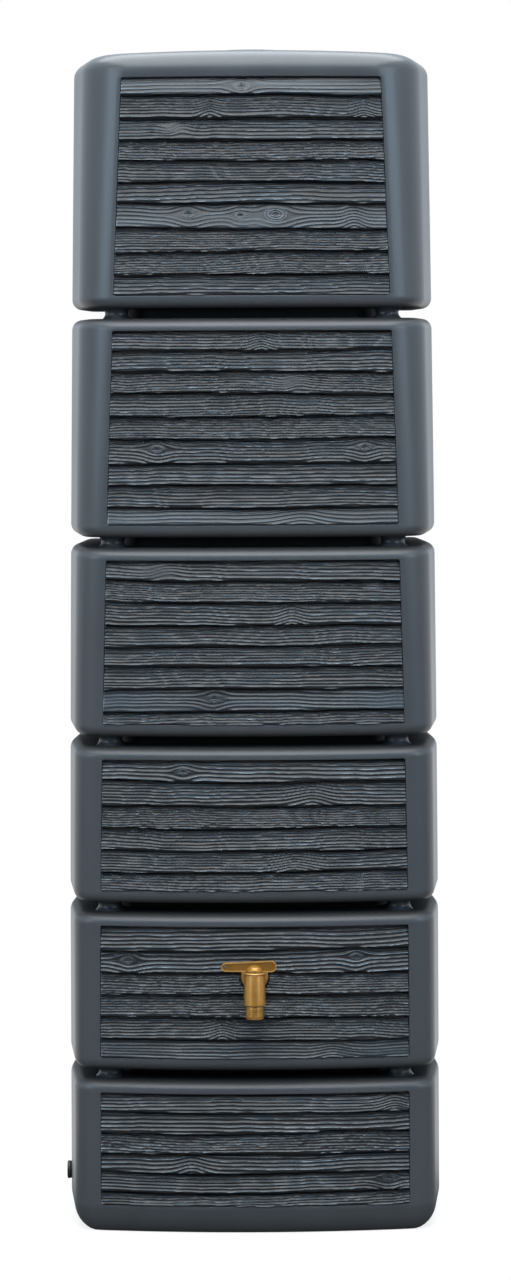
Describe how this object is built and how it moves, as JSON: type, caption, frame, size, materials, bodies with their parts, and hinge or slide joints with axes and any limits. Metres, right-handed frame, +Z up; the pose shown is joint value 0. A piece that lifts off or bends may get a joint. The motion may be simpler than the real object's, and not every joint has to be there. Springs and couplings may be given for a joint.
{
  "type": "rain barrel",
  "caption": "Tall slim wall rain barrel in stacked tiers with plank-effect front panels, a bronze lever tap, a screw drain plug and a round lift-off lid.",
  "frame": {"origin": "middle of the footprint on the ground, under the middle of the tank without its tap", "axes": "+Z up, -Y out of the plank front, +X to the right seen from the front"},
  "size_m": [0.5914, 0.4446, 1.8436],
  "materials": {
    "tank_plastic": "satin anthracite moulded polyethylene",
    "plank_plastic": "anthracite polyethylene with wood-grain relief",
    "lid_plastic": "satin anthracite moulded polyethylene",
    "black_plastic": "black moulded plastic",
    "tap_bronze": "satin antique bronze",
    "screw_steel": "plain steel",
    "rubber": "black sealing rubber"
  },
  "bodies": {
    "tank": {"tank_shell": "tank_plastic", "tier_1_panel": "plank_plastic", "tier_2_panel": "plank_plastic", "tier_3_panel": "plank_plastic", "tier_4_panel": "plank_plastic", "tier_5_panel": "plank_plastic", "tier_6_panel": "plank_plastic", "tap_body": "tap_bronze", "tap_gasket": "rubber", "tap_inner_washer": "rubber", "tap_lock_nut": "black_plastic", "tap_nozzle": "tap_bronze", "tap_nozzle_seal": "rubber", "drain_insert": "black_plastic"},
    "tap_valve": {"tap_plug": "tap_bronze", "tap_plug_o_ring_upper": "rubber", "tap_plug_o_ring_lower": "rubber", "tap_stem_screw": "screw_steel", "tap_handle": "tap_bronze"},
    "lid_body": {"lid": "lid_plastic", "lid_seal": "rubber"},
    "drain_stopper": {"drain_plug": "black_plastic", "drain_plug_seal": "rubber"}
  },
  "joints": [
    {"name": "tap_turn", "type": "hinge", "parent": "tank", "child": "tap_valve", "pos_m": [0, -0.238, 0.3965], "axis": [0, 0, 1], "range_deg": [0, 90]},
    {"name": "lid_lift", "type": "slide", "parent": "tank", "child": "lid_body", "axis": [0, 0, 1], "range_m": [0, 0.25]},
    {"name": "drain_plug_out", "type": "slide", "parent": "tank", "child": "drain_stopper", "axis": [-1, 0, 0], "range_m": [0, 0.04]}
  ]
}
